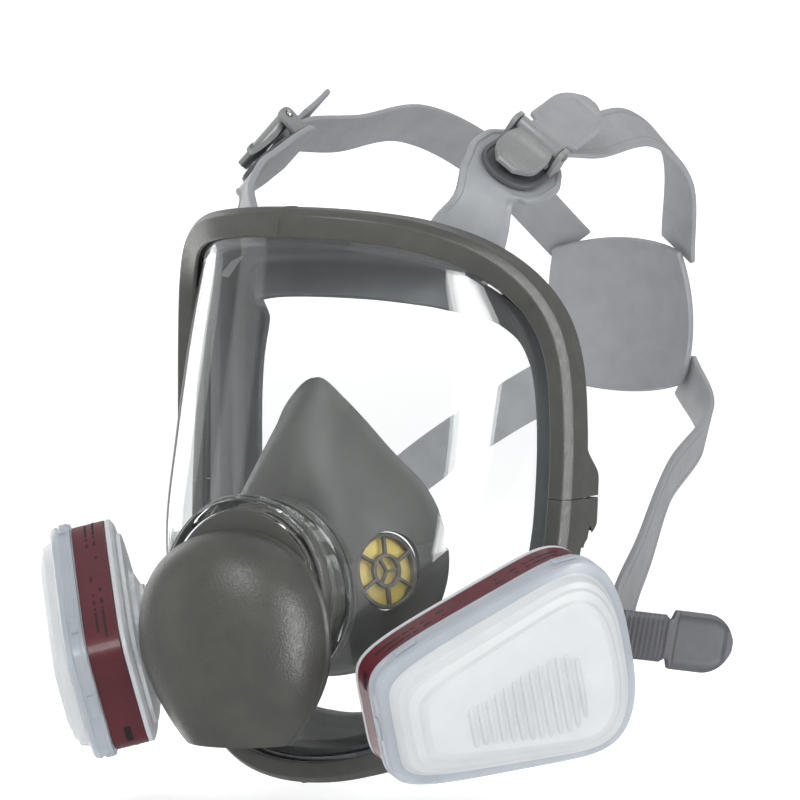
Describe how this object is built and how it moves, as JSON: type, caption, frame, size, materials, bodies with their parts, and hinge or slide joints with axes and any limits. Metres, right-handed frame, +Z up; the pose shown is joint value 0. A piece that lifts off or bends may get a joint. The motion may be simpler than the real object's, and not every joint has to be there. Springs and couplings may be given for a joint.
{
  "type": "full face respirator",
  "caption": "Full face respirator with a clear panoramic lens, nose cup, downward exhalation cover, twist-on filter cartridges and a buckled head harness.",
  "frame": {"origin": "centre of the face opening, level with the side screws of the frame", "axes": "+X towards the wearer's left, -Y the way the wearer looks, +Z up"},
  "size_m": [0.2542, 0.3227, 0.2602],
  "materials": {
    "clear_lens": "clear polycarbonate, polished",
    "frame_plastic": "dark olive grey moulded plastic with a fine sparkle texture",
    "cover_plastic": "dark grey moulded plastic, finely grained",
    "seal_silicone": "light grey moulded silicone",
    "cup_rubber": "dark grey moulded rubber, soft sheen",
    "black_rubber": "black rubber",
    "valve_rubber": "yellow valve rubber",
    "steel": "plated steel",
    "housing_plastic": "light grey moulded plastic",
    "band_plastic": "maroon band",
    "carbon": "activated carbon granules",
    "filter_felt": "white non-woven filter felt",
    "retainer_plastic": "translucent frosted plastic",
    "buckle_plastic": "grey moulded plastic",
    "strap_rubber": "grey rubber strap",
    "tail_rubber": "dark grey ribbed rubber"
  },
  "bodies": {
    "mask": {"lens": "clear_lens", "upper_frame": "frame_plastic", "lower_frame": "frame_plastic", "face_seal": "seal_silicone", "center_adapter": "frame_plastic", "adapter_gasket": "black_rubber", "nose_cup": "cup_rubber", "harness_pad": "strap_rubber", "frame_screw_left": "steel", "frame_nut_left": "steel", "nose_cup_valve_seat_left": "cup_rubber", "bayonet_port_left": "frame_plastic", "port_gasket_left": "black_rubber", "top_buckle_frame_left": "buckle_plastic", "top_buckle_pin_left": "steel", "top_strap_left": "strap_rubber", "top_strap_tail_left": "tail_rubber", "low_buckle_frame_left": "buckle_plastic", "low_buckle_pin_left": "steel", "low_strap_left": "strap_rubber", "low_strap_tail_left": "tail_rubber", "frame_screw_right": "steel", "frame_nut_right": "steel", "nose_cup_valve_seat_right": "cup_rubber", "bayonet_port_right": "frame_plastic", "port_gasket_right": "black_rubber", "top_buckle_frame_right": "buckle_plastic", "top_buckle_pin_right": "steel", "top_strap_right": "strap_rubber", "top_strap_tail_right": "tail_rubber", "low_buckle_frame_right": "buckle_plastic", "low_buckle_pin_right": "steel", "low_strap_right": "strap_rubber", "low_strap_tail_right": "tail_rubber"},
    "exhalation_valve": {"exhalation_valve_flap": "valve_rubber"},
    "exhalation_cover": {"exhalation_cover": "cover_plastic"},
    "cartridge_left": {"cartridge_shell_left": "housing_plastic", "cartridge_band_left": "band_plastic", "carbon_bed_left": "carbon", "prefilter_pad_left": "filter_felt"},
    "retainer_left": {"filter_retainer_left": "retainer_plastic"},
    "inhalation_valve_left": {"inhalation_valve_flap_left": "valve_rubber"},
    "nose_cup_valve_left": {"nose_cup_valve_flap_left": "valve_rubber"},
    "top_lever_left": {"top_buckle_lever_left": "buckle_plastic"},
    "low_lever_left": {"low_buckle_lever_left": "buckle_plastic"},
    "cartridge_right": {"cartridge_shell_right": "housing_plastic", "cartridge_band_right": "band_plastic", "carbon_bed_right": "carbon", "prefilter_pad_right": "filter_felt"},
    "retainer_right": {"filter_retainer_right": "retainer_plastic"},
    "inhalation_valve_right": {"inhalation_valve_flap_right": "valve_rubber"},
    "nose_cup_valve_right": {"nose_cup_valve_flap_right": "valve_rubber"},
    "top_lever_right": {"top_buckle_lever_right": "buckle_plastic"},
    "low_lever_right": {"low_buckle_lever_right": "buckle_plastic"}
  },
  "joints": [
    {"name": "exhalation_cover_pull", "type": "slide", "parent": "mask", "child": "exhalation_cover", "axis": [0, -1, 0], "range_m": [0, 0.035]},
    {"name": "exhalation_valve_lift", "type": "slide", "parent": "mask", "child": "exhalation_valve", "axis": [0, -1, 0], "range_m": [0, 0.002], "stiffness_N_per_m": 60},
    {"name": "cartridge_twist_left", "type": "hinge", "parent": "mask", "child": "cartridge_left", "pos_m": [0.0663, -0.0453, -0.0535], "axis": [0.8229, -0.5142, -0.2419], "range_deg": [0, 60]},
    {"name": "retainer_pull_left", "type": "slide", "parent": "cartridge_left", "child": "retainer_left", "axis": [0.8229, -0.5142, -0.2419], "range_m": [0, 0.02]},
    {"name": "inhalation_valve_lift_left", "type": "slide", "parent": "mask", "child": "inhalation_valve_left", "axis": [-0.8229, 0.5142, 0.2419], "range_m": [0, 0.0015], "stiffness_N_per_m": 60},
    {"name": "nose_cup_valve_lift_left", "type": "slide", "parent": "mask", "child": "nose_cup_valve_left", "axis": [-0.9305, 0.3387, -0.1392], "range_m": [0, 0.0015], "stiffness_N_per_m": 60},
    {"name": "top_buckle_release_left", "type": "hinge", "parent": "mask", "child": "top_lever_left", "pos_m": [0.06095, 0.01783, 0.13729], "axis": [-0.7624, -0.1916, 0.6181], "range_deg": [0, 35]},
    {"name": "low_buckle_release_left", "type": "hinge", "parent": "mask", "child": "low_lever_left", "pos_m": [0.09036, 0.02432, -0.05277], "axis": [0.0739, -0.1036, 0.9919], "range_deg": [0, 35]},
    {"name": "cartridge_twist_right", "type": "hinge", "parent": "mask", "child": "cartridge_right", "pos_m": [-0.0663, -0.0453, -0.0535], "axis": [-0.8229, -0.5142, -0.2419], "range_deg": [0, 60]},
    {"name": "retainer_pull_right", "type": "slide", "parent": "cartridge_right", "child": "retainer_right", "axis": [-0.8229, -0.5142, -0.2419], "range_m": [0, 0.02]},
    {"name": "inhalation_valve_lift_right", "type": "slide", "parent": "mask", "child": "inhalation_valve_right", "axis": [0.8229, 0.5142, 0.2419], "range_m": [0, 0.0015], "stiffness_N_per_m": 60},
    {"name": "nose_cup_valve_lift_right", "type": "slide", "parent": "mask", "child": "nose_cup_valve_right", "axis": [0.9305, 0.3387, -0.1392], "range_m": [0, 0.0015], "stiffness_N_per_m": 60},
    {"name": "top_buckle_release_right", "type": "hinge", "parent": "mask", "child": "top_lever_right", "pos_m": [-0.06095, 0.01783, 0.13729], "axis": [-0.7624, 0.1916, -0.6181], "range_deg": [0, 35]},
    {"name": "low_buckle_release_right", "type": "hinge", "parent": "mask", "child": "low_lever_right", "pos_m": [-0.09036, 0.02432, -0.05277], "axis": [0.0739, 0.1036, -0.9919], "range_deg": [0, 35]}
  ]
}
